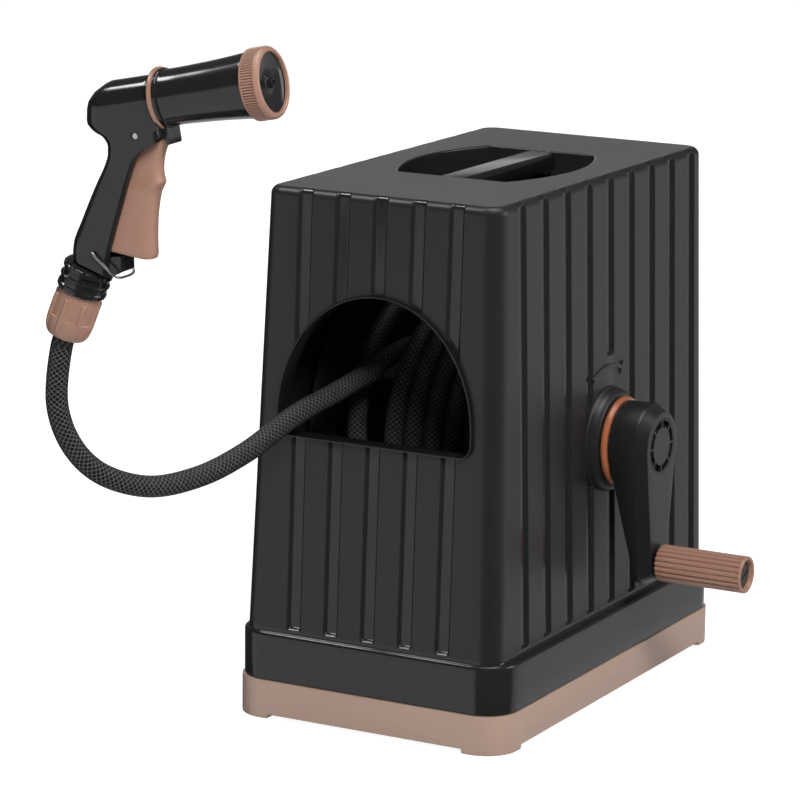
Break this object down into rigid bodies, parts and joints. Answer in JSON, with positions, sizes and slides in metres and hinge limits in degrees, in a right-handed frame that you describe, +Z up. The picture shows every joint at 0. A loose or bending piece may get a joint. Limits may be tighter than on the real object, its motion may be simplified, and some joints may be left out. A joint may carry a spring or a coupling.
{
  "type": "hose reel box",
  "caption": "Closed hose reel box with a crank, a carrying handle, an arched hose window and a pistol spray gun on the end of the hose.",
  "frame": {"origin": "middle of the base on the ground, under the bounding box of the box with its crank and inlet", "axes": "+Z up, the hose window faces -Y, the crank is on the +X side"},
  "size_m": [0.3554, 0.5476, 0.504],
  "materials": {
    "black_plastic": "fine grained charcoal plastic",
    "gloss_black": "polished black plastic",
    "bronze_plastic": "satin rose bronze paint on plastic",
    "hose_rubber": "black hose with a grey braid under a clear skin",
    "steel": "plated steel",
    "seal_rubber": "matte seal rubber"
  },
  "bodies": {
    "box": {"base_tray": "bronze_plastic", "cover_shell": "black_plastic", "carry_handle": "black_plastic", "handle_screw_1": "steel", "handle_screw_2": "steel", "base_screw_1": "steel", "base_screw_2": "steel", "base_screw_3": "steel", "base_screw_4": "steel", "crank_bush": "black_plastic", "inlet_bush": "black_plastic", "inlet_fitting": "black_plastic", "inlet_seal": "seal_rubber", "hose_free": "hose_rubber", "hose_nut": "bronze_plastic", "hose_adaptor": "gloss_black", "gun_body": "gloss_black", "gun_barrel": "gloss_black", "barrel_ring": "bronze_plastic", "trigger_pin": "steel"},
    "reel": {"drum_right": "black_plastic", "drum_left": "black_plastic", "drum_screw_1": "steel", "drum_screw_2": "steel", "drum_screw_3": "steel", "crank_shaft": "black_plastic", "water_axle": "black_plastic", "hose_core": "hose_rubber", "hose_winding": "hose_rubber", "crank_ring": "bronze_plastic", "crank_arm": "gloss_black", "hub_cap": "gloss_black", "crank_screw": "steel", "grip_pin": "gloss_black"},
    "grip": {"crank_grip": "bronze_plastic"},
    "dial": {"spray_dial": "bronze_plastic", "spray_face": "gloss_black"},
    "trigger": {"trigger": "bronze_plastic"},
    "valve": {"valve_stem": "steel"},
    "latch": {"latch_wire": "steel"}
  },
  "joints": [
    {"name": "reel_turn", "type": "hinge", "parent": "box", "child": "reel", "pos_m": [0, 0.004, 0.189], "axis": [1, 0, 0], "continuous": true},
    {"name": "grip_turn", "type": "hinge", "parent": "reel", "child": "grip", "pos_m": [0.14, 0.004, 0.1035], "axis": [1, 0, 0], "continuous": true},
    {"name": "dial_turn", "type": "hinge", "parent": "box", "child": "dial", "pos_m": [-0.02308, -0.3397, 0.47948], "axis": [0.977, 0.0803, 0.1977], "range_deg": [-135, 135]},
    {"name": "trigger_squeeze", "type": "hinge", "parent": "box", "child": "trigger", "pos_m": [-0.10695, -0.3466, 0.4415], "axis": [-0.0819, 0.9966, 0], "range_deg": [0, 12], "stiffness_Nm_per_rad": 0.3, "springref_deg": -11.46},
    {"name": "valve_pull", "type": "slide", "parent": "box", "child": "valve", "axis": [-0.977, -0.0803, -0.1977], "range_m": [0, 0.003]},
    {"name": "latch_swing", "type": "hinge", "parent": "box", "child": "latch", "pos_m": [-0.13777, -0.34913, 0.36246], "axis": [-0.0819, 0.9966, 0], "range_deg": [-12, 40]}
  ],
  "couplings": [
    {"joint": "valve_pull", "follows": "trigger_squeeze", "m_per_rad": 0.014}
  ]
}
